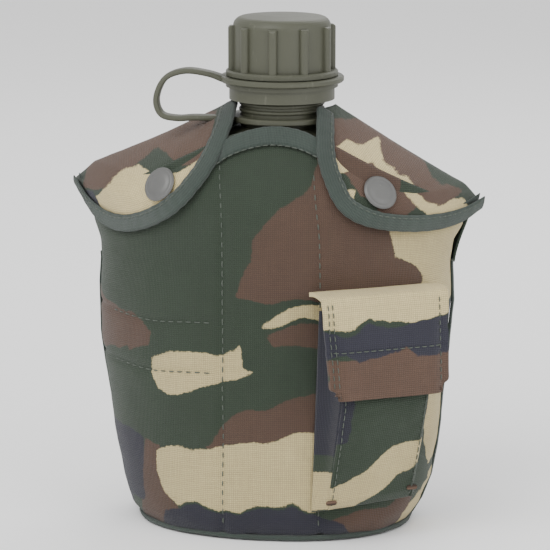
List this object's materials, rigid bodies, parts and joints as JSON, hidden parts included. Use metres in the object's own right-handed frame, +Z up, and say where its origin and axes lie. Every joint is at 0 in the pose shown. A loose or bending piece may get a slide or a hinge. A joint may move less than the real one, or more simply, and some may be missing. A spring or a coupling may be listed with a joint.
{
  "type": "water canteen",
  "caption": "Kidney-shaped plastic water canteen with a ribbed screw cap on a retainer strap, in a camouflage nylon cover with snap flaps, a small front pocket and sliding belt clips.",
  "frame": {"origin": "middle of the flat base, on the axis of the neck", "axes": "+Z up along the neck, -Y towards the front with the pocket, +X to the right as seen from the front"},
  "size_m": [0.1691, 0.1185, 0.2142],
  "materials": {
    "olive_plastic": "satin moulded polyethylene, olive",
    "rubber": "soft sealing disc",
    "camo_nylon": "woven nylon, four-colour camouflage",
    "binding_tape": "ribbed woven tape, dark grey-green",
    "pile": "acrylic pile",
    "snap_metal": "grey enamelled brass",
    "black_steel": "black phosphated steel",
    "webbing": "woven nylon webbing",
    "hook_loop": "hook and loop tape",
    "brass": "blackened eyelet"
  },
  "bodies": {
    "cover": {"flask": "olive_plastic", "retainer_neck_ring": "olive_plastic", "retainer_strap": "olive_plastic", "cover_base_panel": "camo_nylon", "cover_front_panel": "camo_nylon", "cover_back_panel": "camo_nylon", "front_edge_binding": "binding_tape", "back_edge_binding": "binding_tape", "left_seam_tape": "binding_tape", "right_seam_tape": "binding_tape", "front_pile_liner": "pile", "back_pile_liner": "pile", "cover_drain_eyelet": "brass", "left_shoulder": "camo_nylon", "right_shoulder": "camo_nylon", "left_snap_stud": "snap_metal", "right_snap_stud": "snap_metal", "left_snap_post": "snap_metal", "right_snap_post": "snap_metal", "pocket_front": "camo_nylon", "pocket_gusset": "camo_nylon", "pocket_loop_tape": "hook_loop", "pocket_bar_tacks": "binding_tape", "left_back_webbing": "webbing", "right_back_webbing": "webbing", "left_belt_clip": "black_steel", "right_belt_clip": "black_steel"},
    "cap_carrier": {"retainer_cap_ring": "olive_plastic"},
    "cap": {"screw_cap": "olive_plastic", "cap_gasket": "rubber"},
    "left_flap": {"left_flap": "camo_nylon", "left_flap_binding": "binding_tape", "left_snap_cap": "snap_metal", "left_snap_socket": "snap_metal"},
    "right_flap": {"right_flap": "camo_nylon", "right_flap_binding": "binding_tape", "right_snap_cap": "snap_metal", "right_snap_socket": "snap_metal"},
    "pocket_flap": {"pocket_flap": "camo_nylon", "pocket_hook_tape": "hook_loop"},
    "left_slider": {"left_clip_slider": "black_steel"},
    "right_slider": {"right_clip_slider": "black_steel"}
  },
  "joints": [
    {"name": "cap_lift", "type": "slide", "parent": "cover", "child": "cap_carrier", "axis": [0, 0, 1], "range_m": [0, 0.018], "deforming": ["retainer_strap"]},
    {"name": "cap_turn", "type": "hinge", "parent": "cap_carrier", "child": "cap", "pos_m": [0, 0, 0.2], "axis": [0, 0, 1], "range_deg": [0, 1440]},
    {"name": "left_flap_swing", "type": "hinge", "parent": "cover", "child": "left_flap", "pos_m": [-0.048, -0.01, 0.15675], "axis": [-0.8538, 0.2329, -0.4655], "range_deg": [0, 125]},
    {"name": "right_flap_swing", "type": "hinge", "parent": "cover", "child": "right_flap", "pos_m": [0.048, -0.01, 0.15073], "axis": [-0.7866, -0.2145, 0.5789], "range_deg": [0, 125]},
    {"name": "pocket_flap_swing", "type": "hinge", "parent": "cover", "child": "pocket_flap", "pos_m": [0.04282, -0.0393, 0.104], "axis": [-0.8829, -0.4695, 0], "range_deg": [0, 120]},
    {"name": "left_clip_slide", "type": "slide", "parent": "cover", "child": "left_slider", "axis": [0, 0, 1], "range_m": [0, 0.016]},
    {"name": "right_clip_slide", "type": "slide", "parent": "cover", "child": "right_slider", "axis": [0, 0, 1], "range_m": [0, 0.016]}
  ],
  "couplings": [
    {"joint": "cap_turn", "follows": "cap_lift", "rad_per_m": 1396.3}
  ]
}
